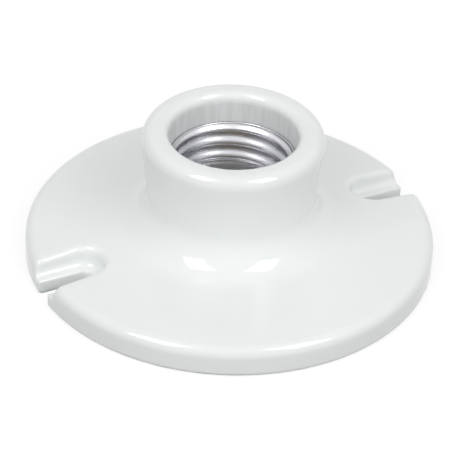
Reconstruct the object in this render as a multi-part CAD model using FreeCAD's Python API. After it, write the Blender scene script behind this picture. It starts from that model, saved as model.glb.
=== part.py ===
"""Keyless porcelain ceiling lamp holder for a 26 mm screw-cap lamp.

One glazed porcelain moulding carries a rolled screw shell, a folded spring contact, two terminal
plates with their wire screws, and the rivets that hold them. The back of the flange lies on
z = 0, the lamp axis is +Z, and the two mounting slots lie along X. Sizes are in millimetres.
"""
import FreeCAD, Part
import math
import os

V = FreeCAD.Vector

# porcelain moulding
BASE_DIAMETER = 88.9            # 3 1/2 in
TOTAL_HEIGHT = 31.8
NECK_DIAMETER = 39.2            # at the lip
NECK_FLARE = 5.5                # degrees, widening towards the lip
BORE_DIAMETER = 27.8
FOOT_CHAMFER = 0.5              # ground edge of the back face
RIM_LAND = 4.4                  # height of the upright side, below its rounded edge
RIM_RADIUS = 2.4
FLANGE_SLOPE = 5.5              # degrees, so that the top sheds dust
SKIRT_RADIUS = 7.6              # hollow curve from the flange up to the neck
LIP_OUTER_RADIUS = 2.5
LIP_INNER_RADIUS = 1.7
SHELL_SEAT = 8.6                # floor of the bore
BOSS_RADIUS = 5.2
BOSS_RISE = 0.8                 # boss through the shell's floor, under the contact

# wiring side
BACK_CAVITY_RADIUS = 23.5
BACK_CAVITY_DEPTH = 4.6
BACK_CAVITY_DRAFT = 0.5         # taper of the cavity's wall, so that the moulding leaves its die

# mounting slots
SCREW_SPACING = 69.85           # 2 3/4 in between mounting screws
SLOT_WIDTH = 4.4                # clears a No. 8 screw
RECESS_WIDTH = 9.0              # clears the screw's head
RECESS_FLOOR = 3.2
RECESS_ROOT_RADIUS = 1.5        # hollow curve from the recess's floor up to its wall
RECESS_LIP_RADIUS = 1.3         # rounded upper edge of the recess, and its corners at the rim

# screw shell, E26 thread
SHEET = 0.35
THREAD_PITCH = 3.629
THREAD_MINOR_RADIUS = 12.45     # inside the crests
THREAD_MAJOR_RADIUS = 13.3      # inside the roots
THREAD_CREST_LAND = 0.8
THREAD_FLANK_HEIGHT = 0.7
THREAD_TURNS = 3
SHELL_TOP = 24.9
SHELL_COLLAR = 0.8              # plain band above the first flank
SHELL_LOWER_RADIUS = 12.75      # plain wall below the thread
SHELL_CORNER = 1.0              # bevelled corner of the drawn cup
SHELL_HOLE_RADIUS = 5.7

# centre contact
CONTACT_WIDTH = 5.0
CONTACT_SHEET = 0.4
CONTACT_BACK_REACH = 4.0        # base leaf behind the rivet
CONTACT_FOLD_X = 2.9            # where the base leaf starts to fold up
CONTACT_FOLD_RADIUS = 1.15      # to the middle of the sheet
CONTACT_TONGUE_RISE = 12.0      # degrees
CONTACT_TONGUE_LENGTH = 5.4
CONTACT_TIP_RADIUS = 1.6
CONTACT_TIP_TURN = 75.0         # degrees

# rivets
CENTRE_RIVET_RADIUS = 1.4
CENTRE_RIVET_HEAD = (2.3, 0.7)  # radius, height
SHELL_RIVET_OFFSET = 8.6
SHELL_RIVET_RADIUS = 1.3
SHELL_RIVET_HEAD = (2.1, 0.7)
RIVET_TAIL = (2.1, 0.8)
WASHER_RADIUS = 3.1
WASHER_THICKNESS = 0.6

# terminals
PLATE_THICKNESS = 0.8
PLATE_WIDTH = 6.0
TERMINAL_RADIUS = 18.5          # from the lamp axis to each wire screw
TERMINAL_PAD_RADIUS = 3.9
COLLAR_RADIUS = 2.9             # drawn, tapped collar round the screw hole
COLLAR_HEIGHT = 1.6
TAPPED_RADIUS = 2.0
SCREW_RADIUS = 1.95
SCREW_LENGTH = 3.4              # under the head
SCREW_HEAD_RADIUS = 3.7
SCREW_HEAD_HEIGHT = 1.5
SCREW_SLOT = (0.9, 0.7)         # width, depth
SCREW_WELL_RADIUS = 3.3
SCREW_WELL_TOP = 7.5            # leaves 1.8 mm of porcelain under the skirt
RIVET_CLEARANCE = 0.05

BASE_RADIUS = BASE_DIAMETER / 2
NECK_RADIUS = NECK_DIAMETER / 2
BORE_RADIUS = BORE_DIAMETER / 2
PLATE_TOP = BACK_CAVITY_DEPTH
PLATE_BOTTOM = BACK_CAVITY_DEPTH - PLATE_THICKNESS
BOSS_TOP = SHELL_SEAT + BOSS_RISE
SHELL_FLOOR_TOP = SHELL_SEAT + SHEET
HOT_SCREW_AT = V(0, TERMINAL_RADIUS, 0)
NEUTRAL_RIVET_AT = V(-SHELL_RIVET_OFFSET, 0, 0)
PLAIN_RIVET_AT = V(SHELL_RIVET_OFFSET, 0, 0)
NEUTRAL_SCREW_AT = V(-SHELL_RIVET_OFFSET, -math.sqrt(TERMINAL_RADIUS**2 - SHELL_RIVET_OFFSET**2), 0)


class Outline:
    """A closed outline in the XZ plane, drawn point by point with lines and arcs."""

    def __init__(self, x, z):
        self.start = self.at = V(x, 0, z)
        self.edges = []

    def line(self, x, z):
        end = V(x, 0, z)
        if end.distanceToPoint(self.at) > 1e-7:
            self.edges.append(Part.LineSegment(self.at, end).toShape())
        self.at = end
        return self

    def arc(self, centre_x, centre_z, radius, from_deg, to_deg):
        def on(deg):
            a = math.radians(deg)
            return V(centre_x + radius * math.cos(a), 0, centre_z + radius * math.sin(a))

        first, middle, last = on(from_deg), on((from_deg + to_deg) / 2), on(to_deg)
        self.line(first.x, first.z)
        self.edges.append(Part.Arc(self.at, middle, last).toShape())
        self.at = last
        return self

    def wire(self):
        self.line(self.start.x, self.start.z)
        return Part.Wire(self.edges)

    def turned(self):
        """The solid made by turning the outline round the lamp axis."""
        return Part.Face(self.wire()).revolve(V(0, 0, 0), V(0, 0, 1), 360)


def cylinder(radius, bottom, top, at=V(0, 0, 0)):
    return Part.makeCylinder(radius, top - bottom, V(at.x, at.y, bottom))


def long_hole(width, inner_x, outer_x, bottom, top):
    """A bar along +X with a half-round inner end."""
    bar = Part.makeBox(outer_x - inner_x, width, top - bottom, V(inner_x, -width / 2, bottom))
    return bar.fuse(cylinder(width / 2, bottom, top, V(inner_x, 0, 0))).removeSplitter()


def half_turn(shape):
    other = shape.copy()
    other.rotate(V(0, 0, 0), V(0, 0, 1), 180)
    return other


def strip(start, end, width, bottom, top):
    """A flat bar with round ends between two points."""
    run = end - start
    bar = Part.makeBox(run.Length, width, top - bottom, V(0, -width / 2, bottom))
    bar.rotate(V(0, 0, 0), V(0, 0, 1), math.degrees(math.atan2(run.y, run.x)))
    bar.translate(start)
    ends = [cylinder(width / 2, bottom, top, p) for p in (start, end)]
    return bar.fuse(ends).removeSplitter()


def moulding_profile():
    """Half section of the porcelain, from the axis at the back, round the outside, to the bore."""
    slope = math.radians(FLANGE_SLOPE)
    flare = math.radians(NECK_FLARE)
    side_x = BASE_RADIUS - RIM_RADIUS
    lip_outer_x = NECK_RADIUS - LIP_OUTER_RADIUS
    lip_outer_z = TOTAL_HEIGHT - LIP_OUTER_RADIUS
    lip_inner_z = TOTAL_HEIGHT - LIP_INNER_RADIUS
    # the skirt's centre lies SKIRT_RADIUS from the neck's line and from the flange's line
    from_neck = lip_outer_x * math.cos(flare) - lip_outer_z * math.sin(flare) + LIP_OUTER_RADIUS + SKIRT_RADIUS
    from_flange = side_x * math.sin(slope) + RIM_LAND * math.cos(slope) + RIM_RADIUS + SKIRT_RADIUS
    skirt_x = (from_neck * math.cos(slope) + from_flange * math.sin(flare)) / math.cos(flare - slope)
    skirt_z = (from_flange * math.cos(flare) - from_neck * math.sin(slope)) / math.cos(flare - slope)
    outline = Outline(0, BACK_CAVITY_DEPTH)
    outline.line(BACK_CAVITY_RADIUS - BACK_CAVITY_DRAFT, BACK_CAVITY_DEPTH)
    outline.line(BACK_CAVITY_RADIUS, 0)
    outline.line(BASE_RADIUS - FOOT_CHAMFER, 0)
    outline.line(BASE_RADIUS, FOOT_CHAMFER)
    outline.arc(side_x, RIM_LAND, RIM_RADIUS, 0, 90 - FLANGE_SLOPE)
    outline.arc(skirt_x, skirt_z, SKIRT_RADIUS, 270 - FLANGE_SLOPE, 180 - NECK_FLARE)
    outline.arc(lip_outer_x, lip_outer_z, LIP_OUTER_RADIUS, -NECK_FLARE, 90)
    outline.arc(BORE_RADIUS + LIP_INNER_RADIUS, lip_inner_z, LIP_INNER_RADIUS, 90, 180)
    outline.line(BORE_RADIUS, SHELL_SEAT)
    outline.line(BOSS_RADIUS, SHELL_SEAT)
    outline.line(BOSS_RADIUS, BOSS_TOP)
    outline.line(0, BOSS_TOP)
    return outline


def mounting_slot():
    """What one slot takes out of the flange: a head recess over a narrower screw slot."""
    screw_x = SCREW_SPACING / 2
    beyond = BASE_RADIUS + RECESS_WIDTH
    recess = long_hole(RECESS_WIDTH, screw_x, beyond, RECESS_FLOOR, SHELL_SEAT + BOSS_RISE)
    floor_edges = [e for e in recess.Edges if e.BoundBox.ZMax < RECESS_FLOOR + 0.1 and e.BoundBox.XMin < beyond - 0.1]
    recess = recess.makeFillet(RECESS_ROOT_RADIUS, floor_edges)
    return recess.fuse(long_hole(SLOT_WIDTH, screw_x, beyond, -1, SHELL_SEAT))


def porcelain_body():
    body = moulding_profile().turned()
    slot = mounting_slot()
    body = body.cut(slot.fuse(half_turn(slot)))
    holes = [cylinder(CENTRE_RIVET_RADIUS + RIVET_CLEARANCE, 0, BOSS_TOP + 1)]
    for at in (NEUTRAL_RIVET_AT, PLAIN_RIVET_AT):
        holes.append(cylinder(SHELL_RIVET_RADIUS + RIVET_CLEARANCE, 0, SHELL_SEAT + 1, at))
    for at in (HOT_SCREW_AT, NEUTRAL_SCREW_AT):
        holes.append(cylinder(SCREW_WELL_RADIUS, 0, SCREW_WELL_TOP, at))
    body = body.cut(holes[0].fuse(holes[1:]))
    return round_recess_edges(body)


def round_recess_edges(body):
    """Rounds the recess's upper edge, which runs from the mouth round the inner end and back."""
    inner_limit = SCREW_SPACING / 2 - RECESS_WIDTH / 2 - 0.1
    upper = []
    for edge in body.Edges:
        middle = edge.valueAt((edge.FirstParameter + edge.LastParameter) / 2)
        on_wall = abs(abs(middle.y) - RECESS_WIDTH / 2) < 0.01
        at_end = abs(math.hypot(abs(middle.x) - SCREW_SPACING / 2, middle.y) - RECESS_WIDTH / 2) < 0.01
        if middle.z > RECESS_FLOOR + 0.3 and abs(middle.x) > inner_limit and (on_wall or at_end):
            upper.append(edge)
    return body.makeFillet(RECESS_LIP_RADIUS, upper)


def shell_wall(offset):
    """Points of the shell's wall, top first: collar, thread crests and roots, lower wall."""
    root = THREAD_MAJOR_RADIUS + offset
    crest = THREAD_MINOR_RADIUS + offset
    root_land = THREAD_PITCH - THREAD_CREST_LAND - 2 * THREAD_FLANK_HEIGHT
    z = SHELL_TOP - SHELL_COLLAR
    points = []
    for turn in range(THREAD_TURNS):
        points.append((root, z))
        z -= THREAD_FLANK_HEIGHT
        points.append((crest, z))
        z -= THREAD_CREST_LAND
        points.append((crest, z))
        z -= THREAD_FLANK_HEIGHT
        if turn < THREAD_TURNS - 1:
            points.append((root, z))
            z -= root_land
    points.append((SHELL_LOWER_RADIUS + offset, z))
    return points


def screw_shell():
    """Drawn cup with a rolled thread, its floor pierced for the boss and the two rivets."""
    lower_outer = SHELL_LOWER_RADIUS + SHEET
    corner_z = SHELL_FLOOR_TOP + SHELL_CORNER
    corner_x = SHELL_LOWER_RADIUS - SHELL_CORNER
    mitre = SHEET * math.tan(math.radians(22.5))
    outline = Outline(THREAD_MAJOR_RADIUS, SHELL_TOP)
    for x, z in shell_wall(0):
        outline.line(x, z)
    outline.line(SHELL_LOWER_RADIUS, corner_z)
    outline.line(corner_x, SHELL_FLOOR_TOP)
    outline.line(SHELL_HOLE_RADIUS, SHELL_FLOOR_TOP)
    outline.line(SHELL_HOLE_RADIUS, SHELL_SEAT)
    outline.line(corner_x + mitre, SHELL_SEAT)
    outline.line(lower_outer, corner_z - mitre)
    for x, z in reversed(shell_wall(SHEET)):
        outline.line(x, z)
    outline.line(THREAD_MAJOR_RADIUS + SHEET, SHELL_TOP)
    shell = outline.turned()
    radius = SHELL_RIVET_RADIUS + RIVET_CLEARANCE
    holes = [cylinder(radius, 0, SHELL_TOP, at) for at in (NEUTRAL_RIVET_AT, PLAIN_RIVET_AT)]
    return shell.cut(holes[0].fuse(holes[1]))


def centre_contact():
    """Brass strip: a base leaf on the boss, folded over the rivet into a springy tongue."""
    half = CONTACT_SHEET / 2
    base_z = BOSS_TOP + half
    fold_z = base_z + CONTACT_FOLD_RADIUS
    rise = math.radians(CONTACT_TONGUE_RISE)
    fold_end = 90 - CONTACT_TONGUE_RISE
    crest_x = CONTACT_FOLD_X + CONTACT_FOLD_RADIUS * math.cos(math.radians(fold_end))
    crest_z = fold_z + CONTACT_FOLD_RADIUS * math.sin(math.radians(fold_end))
    tip_x = crest_x - CONTACT_TONGUE_LENGTH * math.cos(rise)
    tip_z = crest_z + CONTACT_TONGUE_LENGTH * math.sin(rise)
    bend_x = tip_x - CONTACT_TIP_RADIUS * math.sin(rise)
    bend_z = tip_z - CONTACT_TIP_RADIUS * math.cos(rise)
    tip_start = fold_end
    tip_end = fold_end + CONTACT_TIP_TURN
    outline = Outline(-CONTACT_BACK_REACH, BOSS_TOP)
    outline.arc(CONTACT_FOLD_X, fold_z, CONTACT_FOLD_RADIUS + half, -90, fold_end)
    outline.arc(bend_x, bend_z, CONTACT_TIP_RADIUS + half, tip_start, tip_end)
    outline.arc(bend_x, bend_z, CONTACT_TIP_RADIUS - half, tip_end, tip_start)
    outline.arc(CONTACT_FOLD_X, fold_z, CONTACT_FOLD_RADIUS - half, fold_end, -90)
    outline.line(-CONTACT_BACK_REACH, BOSS_TOP + CONTACT_SHEET)
    strip_solid = Part.Face(outline.wire()).extrude(V(0, CONTACT_WIDTH, 0))
    strip_solid.translate(V(0, -CONTACT_WIDTH / 2, 0))
    base_hole = cylinder(CENTRE_RIVET_RADIUS + RIVET_CLEARANCE, 0, BOSS_TOP + CONTACT_SHEET + 0.3)
    return strip_solid.cut(base_hole)


def rivet(shank_radius, head, head_z, tail_z, at=V(0, 0, 0)):
    """A rivet with a pan head standing on head_z and a flared tail closed up under tail_z."""
    head_radius, head_height = head
    tail_radius, tail_height = RIVET_TAIL
    bore = shank_radius / 2
    outline = Outline(0, head_z + head_height)
    outline.line(head_radius - head_height, head_z + head_height)
    outline.line(head_radius, head_z + head_height / 3)
    outline.line(head_radius, head_z)
    outline.line(shank_radius, head_z)
    outline.line(shank_radius, tail_z)
    outline.line(tail_radius, tail_z)
    outline.line(tail_radius - tail_height / 2, tail_z - tail_height)
    outline.line(bore, tail_z - tail_height / 2)
    outline.line(bore, tail_z + tail_height)
    outline.line(0, tail_z + tail_height)
    turned = outline.turned()
    turned.translate(at)
    return turned


def terminal_plate(rivet_at, screw_at, rivet_radius):
    """Flat strip under the web, with a drawn and tapped collar for its wire screw."""
    plate = strip(rivet_at, screw_at, PLATE_WIDTH, PLATE_BOTTOM, PLATE_TOP)
    pad = cylinder(TERMINAL_PAD_RADIUS, PLATE_BOTTOM, PLATE_TOP, screw_at)
    collar = cylinder(COLLAR_RADIUS, PLATE_TOP, PLATE_TOP + COLLAR_HEIGHT, screw_at)
    plate = plate.fuse([pad, collar]).removeSplitter()
    tapped = cylinder(TAPPED_RADIUS, 0, SCREW_WELL_TOP, screw_at)
    pierced = cylinder(rivet_radius + RIVET_CLEARANCE, 0, SCREW_WELL_TOP, rivet_at)
    return plate.cut(tapped.fuse(pierced))


def terminal_screw(at):
    """Binding-head wire screw, its head towards the back, slotted across."""
    head_bottom = PLATE_BOTTOM - SCREW_HEAD_HEIGHT
    slot_width, slot_depth = SCREW_SLOT
    point = SCREW_RADIUS / 3
    top = PLATE_BOTTOM + SCREW_LENGTH
    outline = Outline(0, head_bottom)
    outline.line(SCREW_HEAD_RADIUS - SCREW_HEAD_HEIGHT / 2, head_bottom)
    outline.line(SCREW_HEAD_RADIUS, head_bottom + SCREW_HEAD_HEIGHT / 2)
    outline.line(SCREW_HEAD_RADIUS, PLATE_BOTTOM)
    outline.line(SCREW_RADIUS, PLATE_BOTTOM)
    outline.line(SCREW_RADIUS, top - point)
    outline.line(SCREW_RADIUS - point, top)
    outline.line(0, top)
    screw = outline.turned()
    length = 3 * SCREW_HEAD_RADIUS
    slot = Part.makeBox(length, slot_width, slot_depth, V(-length / 2, -slot_width / 2, head_bottom))
    screw = screw.cut(slot)
    screw.translate(at)
    return screw


def rivet_washer():
    top = BACK_CAVITY_DEPTH
    ring = cylinder(WASHER_RADIUS, top - WASHER_THICKNESS, top, PLAIN_RIVET_AT)
    return ring.cut(cylinder(SHELL_RIVET_RADIUS + RIVET_CLEARANCE, 0, SHELL_SEAT, PLAIN_RIVET_AT))


def centre_rivet():
    return rivet(CENTRE_RIVET_RADIUS, CENTRE_RIVET_HEAD, BOSS_TOP + CONTACT_SHEET, PLATE_BOTTOM)


def shell_rivet(at, tail_z):
    return rivet(SHELL_RIVET_RADIUS, SHELL_RIVET_HEAD, SHELL_FLOOR_TOP, tail_z, at)


def parts():
    return {
        "porcelain_body": porcelain_body(),
        "screw_shell": screw_shell(),
        "centre_contact": centre_contact(),
        "centre_rivet": centre_rivet(),
        "shell_rivet_neutral": shell_rivet(NEUTRAL_RIVET_AT, PLATE_BOTTOM),
        "shell_rivet_plain": shell_rivet(PLAIN_RIVET_AT, BACK_CAVITY_DEPTH - WASHER_THICKNESS),
        "rivet_washer": rivet_washer(),
        "hot_terminal_plate": terminal_plate(V(0, 0, 0), HOT_SCREW_AT, CENTRE_RIVET_RADIUS),
        "neutral_terminal_plate": terminal_plate(
            NEUTRAL_RIVET_AT, NEUTRAL_SCREW_AT, SHELL_RIVET_RADIUS
        ),
        "hot_terminal_screw": terminal_screw(HOT_SCREW_AT),
        "neutral_terminal_screw": terminal_screw(NEUTRAL_SCREW_AT),
    }


def main():
    os.makedirs("parts", exist_ok=True)
    for name, shape in parts().items():
        shape.exportStep(f"parts/{name}.step")
        print(name, shape.ShapeType, len(shape.Solids), shape.isValid(), round(shape.Volume, 2))


main()
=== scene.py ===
"""Keyless porcelain ceiling lamp holder, dressed over its CAD frame.

Glazed porcelain moulding, nickel-plated rolled screw shell, brass and plated contacts behind it.
Lengths are in metres, the lamp axis is +Z and the mounting slots lie along X.
"""
import math

import bmesh
import bpy
from mathutils import Matrix, Vector


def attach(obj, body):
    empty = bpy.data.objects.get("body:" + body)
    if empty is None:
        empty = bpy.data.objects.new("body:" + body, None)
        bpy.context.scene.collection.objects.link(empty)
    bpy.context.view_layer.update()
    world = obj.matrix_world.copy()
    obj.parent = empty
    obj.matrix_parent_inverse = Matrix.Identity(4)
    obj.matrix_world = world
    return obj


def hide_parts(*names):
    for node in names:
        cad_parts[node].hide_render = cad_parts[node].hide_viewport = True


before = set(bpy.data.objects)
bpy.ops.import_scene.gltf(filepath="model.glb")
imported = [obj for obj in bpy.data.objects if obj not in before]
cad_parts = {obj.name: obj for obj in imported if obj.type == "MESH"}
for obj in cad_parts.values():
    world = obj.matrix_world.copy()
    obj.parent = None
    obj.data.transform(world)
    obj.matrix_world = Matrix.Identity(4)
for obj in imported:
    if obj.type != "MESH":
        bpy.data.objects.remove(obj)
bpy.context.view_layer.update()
MM = 0.001

# porcelain moulding, in millimetres
BASE_R = 44.45
HEIGHT = 31.8
NECK_R = 19.6
NECK_FLARE = 5.5
BORE_R = 13.9
FOOT_CHAMFER = 0.5
RIM_LAND = 4.4
RIM_R = 2.4
SLOPE = 5.5
SKIRT_R = 7.6
LIP_OUTER_R = 2.5
LIP_INNER_R = 1.7
SEAT = 8.6
BOSS_R = 5.2
BOSS_TOP = 9.4
CAVITY_R = 23.5
CAVITY_DEEP = 4.6
CAVITY_FILLET = 1.0
SCREW_X = 34.925
SLOT_W = 4.4
RECESS_W = 9.0
RECESS_FLOOR = 3.2
RECESS_ROOT_R = 1.5
RECESS_LIP_R = 1.3
LEDGE_ROLL_R = 0.8
SLOT_EDGE_R = 0.5
RIVET_HOLE_R = 1.45
SHELL_RIVET_X = 8.6
SCREW_WELL_R = 3.3
SCREW_WELL_TOP = 7.5
TERMINAL_R = 18.5
GLAZE_END = 29.7        # height in the bore at which the glaze stops
DRY_BORE_R = 14.35      # the dry band reaches this far from the axis
FOOT_GLAZE = 0.6        # height over the ground back at which the glaze starts
GLAZE_BLUR = 0.4        # half the height over which the glaze runs thin in the bore

# how the moulding's skin is made, in millimetres
VOXEL = 0.45
CLEAR = 12.0            # cutters reach this high, past the flange
FOOT_KEPT = 0.6         # below this the skin stays as the chamfer left it
SNAP = 0.3              # points this near the drawn form are drawn onto it
LIP_DEPTH = 0.4         # how far inside the recess its lip is looked for
TURN_STEPS = 300

# rolled screw shell, in millimetres
SHEET = 0.35
PITCH = 3.629
CREST_R = 12.45
ROOT_R = 13.3
SHELL_TOP = 24.9
THREAD_START = 24.2
THREAD_END = 14.4
LOWER_R = 12.75
SHELL_CORNER_R = 1.2
SHELL_HOLE_R = 5.7
FIRST_CREST = 23.0
RUN_IN = 1.0            # height over which the thread starts, half of it over THREAD_START
RUN_OUT = 1.2           # height over which it ends, over THREAD_END
COLLAR_FOOT = 20.0      # the plain wall is wide above this and narrow below
WALL_STEPS = 90
SHELL_TURN_STEPS = 240


def pen(x, z):
    """A new outline in the XZ plane, with its pen at a first point."""
    outline = bmesh.new()
    return outline, outline.verts.new((x, 0, z))


def line_to(outline, tip, x, z):
    if (tip.co - Vector((x, 0, z))).length < 1e-6:
        return tip
    new = bmesh.ops.extrude_vert_indiv(outline, verts=[tip])["verts"][0]
    new.co = (x, 0, z)
    return new


def arc_to(outline, tip, centre, radius, start, end, step=3.0):
    """Draws an arc from one angle to another, in degrees from +X towards +Z."""
    x, z = centre
    first = math.radians(start)
    tip = line_to(outline, tip, x + radius * math.cos(first), z + radius * math.sin(first))
    turned = bmesh.ops.spin(
        outline, geom=[tip], cent=(x, 0, z), axis=(0, 1, 0), dvec=(0, 0, 0),
        angle=math.radians(start - end), steps=max(2, round(abs(end - start) / step)),
        use_merge=False, use_duplicate=False)
    return [v for v in turned["geom_last"] if isinstance(v, bmesh.types.BMVert)][0]


def turn(outline, steps):
    """Spins the outline once round the lamp axis into a closed skin."""
    bmesh.ops.spin(
        outline, geom=outline.verts[:] + outline.edges[:], cent=(0, 0, 0), axis=(0, 0, 1),
        dvec=(0, 0, 0), angle=math.tau, steps=steps, use_merge=True, use_duplicate=False)
    bmesh.ops.remove_doubles(outline, verts=outline.verts, dist=1e-5)
    bmesh.ops.recalc_face_normals(outline, faces=outline.faces)


def to_object(bm, name):
    mesh = bpy.data.meshes.new(name)
    bm.to_mesh(mesh)
    bm.free()
    made = bpy.data.objects.new(name, mesh)
    bpy.context.scene.collection.objects.link(made)
    return made


def apply_modifiers(piece):
    bpy.context.view_layer.update()
    graph = bpy.context.evaluated_depsgraph_get()
    done = bpy.data.meshes.new_from_object(piece.evaluated_get(graph))
    piece.modifiers.clear()
    piece.data = done


def cut(piece, cutter):
    boolean = piece.modifiers.new("cut", "BOOLEAN")
    boolean.operation = "DIFFERENCE"
    boolean.solver = "EXACT"
    boolean.object = cutter
    apply_modifiers(piece)
    bpy.data.objects.remove(cutter)


def smooth_shaded(piece):
    for face in piece.data.polygons:
        face.use_smooth = True


# ---- porcelain moulding -------------------------------------------------------------------------

def moulding_points():
    """Centres of the rim's rounded edge and of the skirt's hollow curve, in the XZ plane."""
    slope, flare = math.radians(SLOPE), math.radians(NECK_FLARE)
    rim = Vector((BASE_R - RIM_R, RIM_LAND))
    lip = Vector((NECK_R - LIP_OUTER_R, HEIGHT - LIP_OUTER_R))
    from_neck = lip.x * math.cos(flare) - lip.y * math.sin(flare) + LIP_OUTER_R + SKIRT_R
    from_flange = rim.x * math.sin(slope) + rim.y * math.cos(slope) + RIM_R + SKIRT_R
    x = from_neck * math.cos(slope) + from_flange * math.sin(flare)
    z = from_flange * math.cos(flare) - from_neck * math.sin(slope)
    return rim, lip, Vector((x, z)) / math.cos(flare - slope)


def porcelain_blank():
    rim, lip, skirt = moulding_points()
    cavity = (CAVITY_R - CAVITY_FILLET, CAVITY_DEEP - CAVITY_FILLET)
    outline, tip = pen(0, CAVITY_DEEP)
    tip = arc_to(outline, tip, cavity, CAVITY_FILLET, 90, 0, 15)
    tip = line_to(outline, tip, CAVITY_R, 0)
    tip = line_to(outline, tip, BASE_R - FOOT_CHAMFER, 0)
    tip = line_to(outline, tip, BASE_R, FOOT_CHAMFER)
    tip = arc_to(outline, tip, rim, RIM_R, 0, 90 - SLOPE, 6)
    tip = arc_to(outline, tip, skirt, SKIRT_R, 270 - SLOPE, 180 - NECK_FLARE)
    tip = arc_to(outline, tip, lip, LIP_OUTER_R, -NECK_FLARE, 90, 5)
    tip = arc_to(outline, tip, (BORE_R + LIP_INNER_R, HEIGHT - LIP_INNER_R), LIP_INNER_R, 90, 180)
    for x, z in ((BORE_R, SEAT), (BOSS_R, SEAT), (BOSS_R, BOSS_TOP), (0, BOSS_TOP)):
        tip = line_to(outline, tip, x, z)
    turn(outline, TURN_STEPS)
    return to_object(outline, "porcelain")


def peg(radius, bottom, top, x=0.0, y=0.0):
    bm = bmesh.new()
    bmesh.ops.create_cone(
        bm, cap_ends=True, segments=48, radius1=radius, radius2=radius, depth=top - bottom,
        matrix=Matrix.Translation((x, y, (top + bottom) / 2)))
    return to_object(bm, "peg")


def long_peg(width, inner_x, outer_x, bottom, top, root=0.0):
    """A cutter with round ends, lying along X, its lower edge rounded to the root radius."""
    bm = bmesh.new()
    rings = [(width / 2, top)]
    for deg in range(0, 91, 15) if root else (90,):
        a = math.radians(deg)
        rings.append((width / 2 - root * (1 - math.sin(a)), bottom + root * (1 - math.cos(a))))
    for x in (inner_x, outer_x):
        for radius, z in rings:
            bmesh.ops.create_circle(
                bm, segments=64, radius=radius, matrix=Matrix.Translation((x, 0, z)))
    bmesh.ops.convex_hull(bm, input=bm.verts)
    bmesh.ops.recalc_face_normals(bm, faces=bm.faces)
    return to_object(bm, "long_peg")


def roll_edge(bm, faces_of, radius_of):
    """Rolls the edge where two faces meet. faces_of gives each face's distance and outward way."""
    for v in bm.verts:
        found = faces_of(v.co)
        if found is None:
            continue
        (a, way_a), (b, way_b) = found
        radius = radius_of(v.co)
        reach = math.hypot(a + radius, b + radius)
        if a < -radius or b < -radius or reach < radius / 2:
            continue
        pull = radius / reach - 1
        v.co += pull * ((a + radius) * way_a + (b + radius) * way_b)


def settle(bm):
    """Draws points that lie close to the drawn form exactly onto it."""
    for v in bm.verts:
        if v.co.z < FOOT_KEPT or math.hypot(v.co.x, v.co.y) < BORE_R + LIP_INNER_R:
            continue
        gap, way = outer_skin(v.co)
        near_slot = abs(v.co.y) < RECESS_W and abs(v.co.x) > SCREW_X - RECESS_W
        if near_slot and abs(gap) > SNAP and v.co.z > RECESS_FLOOR - SNAP:
            gap, way = recess_skin(v.co)
        if abs(gap) < SNAP:
            v.co -= gap * way


def from_middle(co):
    """Distance of a point from a slot's middle line, and the way back to that line."""
    away = Vector((max(0.0, SCREW_X - abs(co.x)) * (1 if co.x > 0 else -1), -co.y, 0))
    return away.length, away / max(away.length, 1e-6)


def recess_skin(co):
    """How far outside the porcelain a point lies at the recess's wall, root or floor."""
    distance, away = from_middle(co)
    across, rise = distance - RECESS_W / 2 + RECESS_ROOT_R, co.z - RECESS_FLOOR - RECESS_ROOT_R
    if rise >= 0:
        return RECESS_W / 2 - distance, away
    if across <= 0:
        return co.z - RECESS_FLOOR, Vector((0, 0, 1))
    reach = math.hypot(across, rise)
    return RECESS_ROOT_R - reach, away * across / reach - Vector((0, 0, rise / reach))


def outer_skin(co):
    """How far outside the turned form, from rim to lip, a point lies, and the way out there."""
    rim, lip, skirt = moulding_points()
    slope, flare = math.radians(SLOPE), math.radians(NECK_FLARE)
    point = Vector((math.hypot(co.x, co.y), co.z))
    out = Vector((co.x, co.y, 0)) / max(point.x, 1e-6)
    off_rim, off_skirt, off_lip = point - rim, point - skirt, point - lip
    up = Vector((math.sin(slope), math.cos(slope)))
    neck = Vector((math.cos(flare), -math.sin(flare)))
    if off_rim.x > 0 and off_rim.y < 0:
        gap, way = point.x - BASE_R, Vector((1, 0))
    elif off_rim.x > 0 and off_rim.angle(Vector((1, 0))) < math.pi / 2 - slope:
        gap, way = off_rim.length - RIM_R, off_rim.normalized()
    elif off_skirt.x * up.y - off_skirt.y * up.x > 0:
        gap, way = off_rim.dot(up) - RIM_R, up
    elif off_skirt.x * neck.y - off_skirt.y * neck.x > 0:
        gap, way = SKIRT_R - off_skirt.length, -off_skirt.normalized()
    elif off_lip.x * neck.y - off_lip.y * neck.x > 0:
        gap, way = off_lip.dot(neck) - LIP_OUTER_R, neck
    elif off_lip.x > 0:
        gap, way = off_lip.length - LIP_OUTER_R, off_lip.normalized()
    else:
        gap, way = point.y - HEIGHT, Vector((0, 1))
    return gap, out * way.x + Vector((0, 0, way.y))


def recess_lip(co):
    if abs(co.x) < SCREW_X - RECESS_W or abs(co.y) > RECESS_W or co.z < RECESS_FLOOR - 0.2:
        return None
    skin = recess_skin(co)
    return None if skin[0] > LIP_DEPTH else (skin, outer_skin(co))


def recess_lip_radius(co):
    up = min(1.0, max(0.0, (co.z - RECESS_FLOOR) / RECESS_ROOT_R))
    return LEDGE_ROLL_R + (RECESS_LIP_R - LEDGE_ROLL_R) * up


def slot_skin(co):
    distance, away = from_middle(co)
    return SLOT_W / 2 - distance, away


def slot_upper_edge(co):
    if abs(co.x) < SCREW_X - SLOT_W or abs(co.y) > SLOT_W or co.z > RECESS_FLOOR + SNAP:
        return None
    return slot_skin(co), (co.z - RECESS_FLOOR, Vector((0, 0, 1)))


def slot_mouth_edge(co):
    if abs(co.x) < SCREW_X or abs(co.y) > SLOT_W or co.z > RECESS_FLOOR + SNAP:
        return None
    out = Vector((co.x, co.y, 0)).normalized()
    return slot_skin(co), (math.hypot(co.x, co.y) - BASE_R, out)


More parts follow.
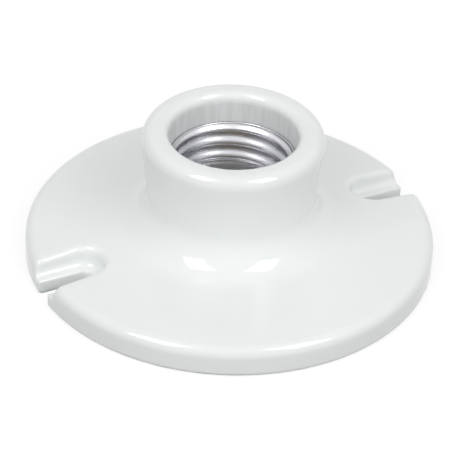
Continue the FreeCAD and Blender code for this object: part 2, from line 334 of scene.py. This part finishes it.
def edit(piece, job):
    bm = bmesh.new()
    bm.from_mesh(piece.data)
    job(bm)
    bm.to_mesh(piece.data)
    bm.free()


def porcelain_body():
    body = porcelain_blank()
    far = BASE_R + RECESS_W
    for side in (1, -1):
        inner, outer = side * SCREW_X, side * far
        cut(body, long_peg(RECESS_W, inner, outer, RECESS_FLOOR, CLEAR, RECESS_ROOT_R))
        cut(body, long_peg(SLOT_W, inner, outer, -2, CLEAR))
        cut(body, peg(RIVET_HOLE_R, 0, CLEAR, side * SHELL_RIVET_X))
    cut(body, peg(RIVET_HOLE_R, 0, CLEAR))
    neutral_y = -math.sqrt(TERMINAL_R**2 - SHELL_RIVET_X**2)
    for x, y in ((0, TERMINAL_R), (-SHELL_RIVET_X, neutral_y)):
        cut(body, peg(SCREW_WELL_R, 0, SCREW_WELL_TOP, x, y))
    remesh = body.modifiers.new("slip", "REMESH")
    remesh.mode = "VOXEL"
    remesh.voxel_size = VOXEL
    soften = body.modifiers.new("soften", "SMOOTH")
    soften.factor, soften.iterations = 0.5, 3
    apply_modifiers(body)
    edit(body, settle)
    edit(body, lambda bm: roll_edge(bm, recess_lip, recess_lip_radius))
    edit(body, lambda bm: roll_edge(bm, slot_upper_edge, lambda co: SLOT_EDGE_R))
    edit(body, lambda bm: roll_edge(bm, slot_mouth_edge, lambda co: SLOT_EDGE_R))
    glaze = body.modifiers.new("glaze", "SMOOTH")
    glaze.factor, glaze.iterations = 0.5, 1
    apply_modifiers(body)
    body.data.transform(Matrix.Scale(MM, 4))
    smooth_shaded(body)
    return body


# ---- rolled screw shell --------------------------------------------------------------------------

def thread_depth(x, y, z):
    """Rolled thread: right-handed, and run out at both ends."""
    turn_part = math.atan2(y, x) / math.tau
    wave = 0.5 - 0.5 * math.cos(math.tau * ((FIRST_CREST - z) / PITCH + turn_part))
    fade_top = min(1.0, max(0.0, (THREAD_START + RUN_IN / 2 - z) / RUN_IN))
    fade_end = min(1.0, max(0.0, (z - THREAD_END) / RUN_OUT))
    thread = CREST_R + (ROOT_R - CREST_R) * wave
    plain = ROOT_R if z > COLLAR_FOOT else LOWER_R
    fade = fade_top * fade_end
    return thread * fade + plain * (1 - fade) - LOWER_R


def screw_shell():
    corner = LOWER_R - SHELL_CORNER_R
    floor = SEAT + SHEET
    outline, tip = pen(LOWER_R, SHELL_TOP)
    for i in range(1, WALL_STEPS + 1):
        z = SHELL_TOP + (floor + SHELL_CORNER_R - SHELL_TOP) * i / WALL_STEPS
        tip = line_to(outline, tip, LOWER_R, z)
    tip = arc_to(outline, tip, (corner, floor + SHELL_CORNER_R), SHELL_CORNER_R, 0, -90, 10)
    tip = line_to(outline, tip, SHELL_HOLE_R, floor)
    tip = line_to(outline, tip, SHELL_HOLE_R, SEAT)
    tip = arc_to(outline, tip, (corner, floor + SHELL_CORNER_R), SHELL_CORNER_R + SHEET, -90, 0, 10)
    for i in range(WALL_STEPS + 1):
        z = floor + SHELL_CORNER_R + (SHELL_TOP - floor - SHELL_CORNER_R) * i / WALL_STEPS
        tip = line_to(outline, tip, LOWER_R + SHEET, z)
    line_to(outline, tip, LOWER_R, SHELL_TOP)
    turn(outline, SHELL_TURN_STEPS)
    for v in outline.verts:
        if v.co.z > floor + SHELL_CORNER_R - 1e-4 and math.hypot(v.co.x, v.co.y) > LOWER_R - 0.01:
            move = thread_depth(*v.co)
            v.co += Vector((v.co.x, v.co.y, 0)).normalized() * move
    bmesh.ops.scale(outline, vec=(MM, MM, MM), verts=outline.verts)
    shell = to_object(outline, "rolled_shell")
    smooth_shaded(shell)
    return shell


# ---- materials -----------------------------------------------------------------------------------

def srgb(code):
    """An sRGB hex colour as linear values."""
    parts = [int(code[i:i + 2], 16) / 255 for i in (1, 3, 5)]
    return [c / 12.92 if c <= 0.04045 else ((c + 0.055) / 1.055) ** 2.4 for c in parts] + [1.0]


def add(tree, kind, links=None, **settings):
    """Adds a node. Settings go to its attributes or, where there is none, to its sockets."""
    node = tree.nodes.new(kind)
    for key, value in settings.items():
        if hasattr(node, key):
            setattr(node, key, value)
        else:
            node.inputs[key.replace("_", " ")].default_value = value
    for socket, source in (links or {}).items():
        tree.links.new(source, node.inputs[socket])
    return node


def new_material(name):
    made = bpy.data.materials.new(name)
    made.use_nodes = True
    made.node_tree.nodes.clear()
    return made, made.node_tree


def dress(piece, material):
    piece.data.materials.clear()
    piece.data.materials.append(material)


def glazed_porcelain():
    """White porcelain under clear glaze: a wet-looking skin over neutral white, dry where bare."""
    made, tree = new_material("glazed_porcelain")
    place = add(tree, "ShaderNodeTexCoord").outputs["Object"]
    axes = add(tree, "ShaderNodeSeparateXYZ", {0: place})
    x, y, z = axes.outputs
    xx = add(tree, "ShaderNodeMath", {0: x, 1: x}, operation="MULTIPLY").outputs[0]
    yy = add(tree, "ShaderNodeMath", {0: y, 1: y}, operation="MULTIPLY").outputs[0]
    rr = add(tree, "ShaderNodeMath", {0: xx, 1: yy}, operation="ADD").outputs[0]
    radius = add(tree, "ShaderNodeMath", {0: rr}, operation="SQRT").outputs[0]
    # the glaze stops inside the bore, 2.1 mm under the lip, and 0.6 mm above the ground back,
    # and both ends wander by 0.4 mm over 4 mm
    wobble = add(tree, "ShaderNodeTexNoise", {"Vector": place}, Scale=250.0, Detail=2.0)
    edge = add(tree, "ShaderNodeMapRange", {0: wobble.outputs[0]})
    edge.inputs["To Min"].default_value = -GLAZE_BLUR * MM
    edge.inputs["To Max"].default_value = GLAZE_BLUR * MM
    z_edge = add(tree, "ShaderNodeMath", {0: z, 1: edge.outputs[0]}, operation="ADD").outputs[0]
    in_bore = add(tree, "ShaderNodeMath", {0: radius}, operation="LESS_THAN")
    in_bore.inputs[1].default_value = DRY_BORE_R * MM
    under_lip = add(tree, "ShaderNodeMapRange", {0: z_edge})
    under_lip.inputs["From Min"].default_value = (GLAZE_END + GLAZE_BLUR) * MM
    under_lip.inputs["From Max"].default_value = (GLAZE_END - GLAZE_BLUR) * MM
    bore = add(tree, "ShaderNodeMath", {0: in_bore.outputs[0], 1: under_lip.outputs[0]},
               operation="MULTIPLY").outputs[0]
    foot = add(tree, "ShaderNodeMapRange", {0: z_edge})
    foot.inputs["From Min"].default_value = (FOOT_GLAZE + GLAZE_BLUR / 2) * MM
    foot.inputs["From Max"].default_value = (FOOT_GLAZE - GLAZE_BLUR / 2) * MM
    dry = add(tree, "ShaderNodeMath", {0: bore, 1: foot.outputs[0]}, operation="MAXIMUM").outputs[0]
    # streaks down the dry bore wall, 1.5 mm wide and 12 mm long
    streak_map = add(tree, "ShaderNodeMapping", {"Vector": place}, Scale=(650.0, 650.0, 80.0))
    streaks = add(tree, "ShaderNodeTexNoise", {"Vector": streak_map.outputs[0]},
                  Scale=1.0, Detail=4.0)
    dry_colour = add(tree, "ShaderNodeMix", {0: streaks.outputs[0]}, data_type="RGBA")
    dry_colour.inputs[6].default_value = srgb("#CACCCC")
    dry_colour.inputs[7].default_value = srgb("#EEF0F0")
    # broad milkiness of the glaze, 12 mm patches
    milk = add(tree, "ShaderNodeTexNoise", {"Vector": place}, Scale=80.0, Detail=2.0)
    glaze_colour = add(tree, "ShaderNodeMix", {0: milk.outputs[0]}, data_type="RGBA")
    glaze_colour.inputs[6].default_value = srgb("#EFF2F1")
    glaze_colour.inputs[7].default_value = srgb("#F3F6F5")
    colour = add(tree, "ShaderNodeMix", {0: dry}, data_type="RGBA")
    tree.links.new(glaze_colour.outputs[2], colour.inputs[6])
    tree.links.new(dry_colour.outputs[2], colour.inputs[7])
    rough = add(tree, "ShaderNodeMapRange", {0: dry})
    rough.inputs["To Min"].default_value, rough.inputs["To Max"].default_value = 0.05, 0.75
    # orange-peel of the fired glaze: 3 mm waves, about 8 microns high
    waves = add(tree, "ShaderNodeTexNoise", {"Vector": place}, Scale=330.0, Detail=1.0)
    bump = add(tree, "ShaderNodeBump", {"Height": waves.outputs[0]},
               Strength=0.25, Distance=0.03 * MM)
    shader = add(tree, "ShaderNodeBsdfPrincipled",
                 {"Base Color": colour.outputs[2], "Roughness": rough.outputs[0],
                  "Normal": bump.outputs[0]}, IOR=1.6)
    add(tree, "ShaderNodeOutputMaterial", {"Surface": shader.outputs[0]})
    return made


def plated_metal(name, dark, light, roughness, grain):
    """Drawn brass, bare or nickel-plated: die lines run round it, and it clouds in patches."""
    made, tree = new_material(name)
    place = add(tree, "ShaderNodeTexCoord").outputs["Object"]
    # die lines 0.3 mm apart along Z, long round the axis
    lines_map = add(tree, "ShaderNodeMapping", {"Vector": place}, Scale=(60.0, 60.0, 3300.0))
    lines = add(tree, "ShaderNodeTexNoise", {"Vector": lines_map.outputs[0]}, Scale=1.0, Detail=3.0)
    # clouds 5.5 mm across
    clouds = add(tree, "ShaderNodeTexNoise", {"Vector": place}, Scale=180.0, Detail=4.0)
    colour = add(tree, "ShaderNodeMix", {0: clouds.outputs[0]}, data_type="RGBA")
    colour.inputs[6].default_value = srgb(dark)
    colour.inputs[7].default_value = srgb(light)
    rough = add(tree, "ShaderNodeMapRange", {0: lines.outputs[0]})
    rough.inputs["To Min"].default_value = roughness - 0.06
    rough.inputs["To Max"].default_value = roughness + 0.08
    bump = add(tree, "ShaderNodeBump", {"Height": lines.outputs[0]},
               Strength=grain, Distance=0.05 * MM)
    shader = add(tree, "ShaderNodeBsdfPrincipled",
                 {"Base Color": colour.outputs[2], "Roughness": rough.outputs[0],
                  "Normal": bump.outputs[0]}, Metallic=1.0)
    add(tree, "ShaderNodeOutputMaterial", {"Surface": shader.outputs[0]})
    return made


# ---- studio --------------------------------------------------------------------------------------

FLOOR_SIZE = 3.0
FLOOR_LIFT = 0.77       # what makes the paper read white where it is seen
SKY_LIGHT = 0.58        # even light from all round; where it is seen, it reads 1.0, white
GLEAM_SIZE = (0.42, 0.62)
GLEAM_WATTS = 4.9
FILL_SIZE = (1.0, 1.0)


def seen_directly(tree):
    """1 where a camera, a reflection or a view through glass meets it, 0 for light it gives."""
    path = add(tree, "ShaderNodeLightPath")
    seen = add(tree, "ShaderNodeMath",
               {0: path.outputs["Is Camera Ray"], 1: path.outputs["Is Glossy Ray"]},
               operation="MAXIMUM").outputs[0]
    return add(tree, "ShaderNodeMath", {0: seen, 1: path.outputs["Is Transmission Ray"]},
               operation="MAXIMUM").outputs[0]


def floor_paper():
    """White paper: it catches the object's shadow and reads white, also in reflections."""
    made, tree = new_material("white_paper")
    lift = add(tree, "ShaderNodeMath", {0: seen_directly(tree)}, operation="MULTIPLY")
    lift.inputs[1].default_value = FLOOR_LIFT
    glow = add(tree, "ShaderNodeEmission", {"Strength": lift.outputs[0]})
    matt = add(tree, "ShaderNodeBsdfDiffuse", Color=srgb("#929292"))
    both = add(tree, "ShaderNodeAddShader", {0: glow.outputs[0], 1: matt.outputs[0]})
    add(tree, "ShaderNodeOutputMaterial", {"Surface": both.outputs[0]})
    return made


def paper_floor():
    bm = bmesh.new()
    bmesh.ops.create_grid(bm, x_segments=1, y_segments=1, size=FLOOR_SIZE)
    floor = to_object(bm, "paper_floor")
    dress(floor, floor_paper())


def soft_box(name, place, size, watts, mirrored):
    """A soft box that either shows in the glaze or lights the object, and not both."""
    light = bpy.data.lights.new(name, "AREA")
    light.shape = "RECTANGLE"
    light.size, light.size_y = size
    light.energy = watts
    lamp = bpy.data.objects.new(name, light)
    lamp.location = place
    lamp.visible_diffuse, lamp.visible_glossy = not mirrored, mirrored
    lamp.rotation_mode = "QUATERNION"
    lamp.rotation_quaternion = (-Vector(place)).to_track_quat("-Z", "Y")
    bpy.context.scene.collection.objects.link(lamp)


def studio():
    paper_floor()
    world = bpy.data.worlds.new("studio")
    bpy.context.scene.world = world
    world.use_nodes = True
    sky = world.node_tree.nodes["Background"]
    sky.inputs["Color"].default_value = (1, 1, 1, 1)
    lift = add(world.node_tree, "ShaderNodeMath", {0: seen_directly(world.node_tree)},
               operation="MULTIPLY_ADD")
    lift.inputs[1].default_value, lift.inputs[2].default_value = 1.0 - SKY_LIGHT, SKY_LIGHT
    world.node_tree.links.new(lift.outputs[0], sky.inputs["Strength"])
    soft_box("left_box", (-0.69, -0.21, 0.96), GLEAM_SIZE, GLEAM_WATTS, True)
    soft_box("right_box", (0.29, -0.69, 0.94), GLEAM_SIZE, GLEAM_WATTS, True)
    soft_box("left_fill", (-1.06, -0.48, 0.86), FILL_SIZE, 6.0, False)
    soft_box("right_fill", (0.3, -1.12, 0.86), FILL_SIZE, 6.2, False)
    bpy.context.scene.view_settings.view_transform = "Standard"


def camera():
    """Long lens from above, a little to the left of the slots' square view, and rolled slightly."""
    azimuth, elevation, roll = (math.radians(deg) for deg in (-27.84, 35.93, 2.36))
    distance = 0.6227
    aim = Vector((-0.0002, -0.0002, 0.0059))
    back = Vector((math.sin(azimuth) * math.cos(elevation),
                   -math.cos(azimuth) * math.cos(elevation), math.sin(elevation)))
    eye = back * distance
    data = bpy.data.cameras.new("camera")
    data.lens, data.sensor_width = 222.95, 36.0
    data.clip_start, data.clip_end = 0.01, 20.0
    made = bpy.data.objects.new("camera", data)
    made.rotation_mode = "QUATERNION"
    looking = (aim - eye).to_track_quat("-Z", "Y")
    made.location = eye
    made.rotation_quaternion = looking @ Matrix.Rotation(roll, 3, "Z").to_quaternion()
    bpy.context.scene.collection.objects.link(made)
    bpy.context.scene.camera = made


# ---- the lamp holder -----------------------------------------------------------------------------

nickel = plated_metal("nickel_plated_brass", "#CECED2", "#DEDEE2", 0.26, 0.15)
spring_brass = plated_metal("spring_brass", "#BFA56E", "#CFB683", 0.3, 0.2)
terminal_brass = plated_metal("stamped_brass", "#B08A45", "#C8A25A", 0.34, 0.2)
terminal_nickel = plated_metal("barrel_plated_nickel", "#B4B3B0", "#CBCAC7", 0.3, 0.15)

body = porcelain_body()
dress(body, glazed_porcelain())
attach(body, "root")
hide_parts("porcelain_body")

shell = screw_shell()
dress(shell, nickel)
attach(shell, "root")
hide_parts("screw_shell")

contacts = (
    (spring_brass, ("centre_contact", "centre_rivet")),
    (terminal_brass, ("hot_terminal_plate", "hot_terminal_screw")),
    (terminal_nickel, ("shell_rivet_neutral", "shell_rivet_plain", "rivet_washer",
                       "neutral_terminal_plate", "neutral_terminal_screw")))
for metal, node_names in contacts:
    for node_name in node_names:
        dress(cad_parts[node_name], metal)

studio()
camera()
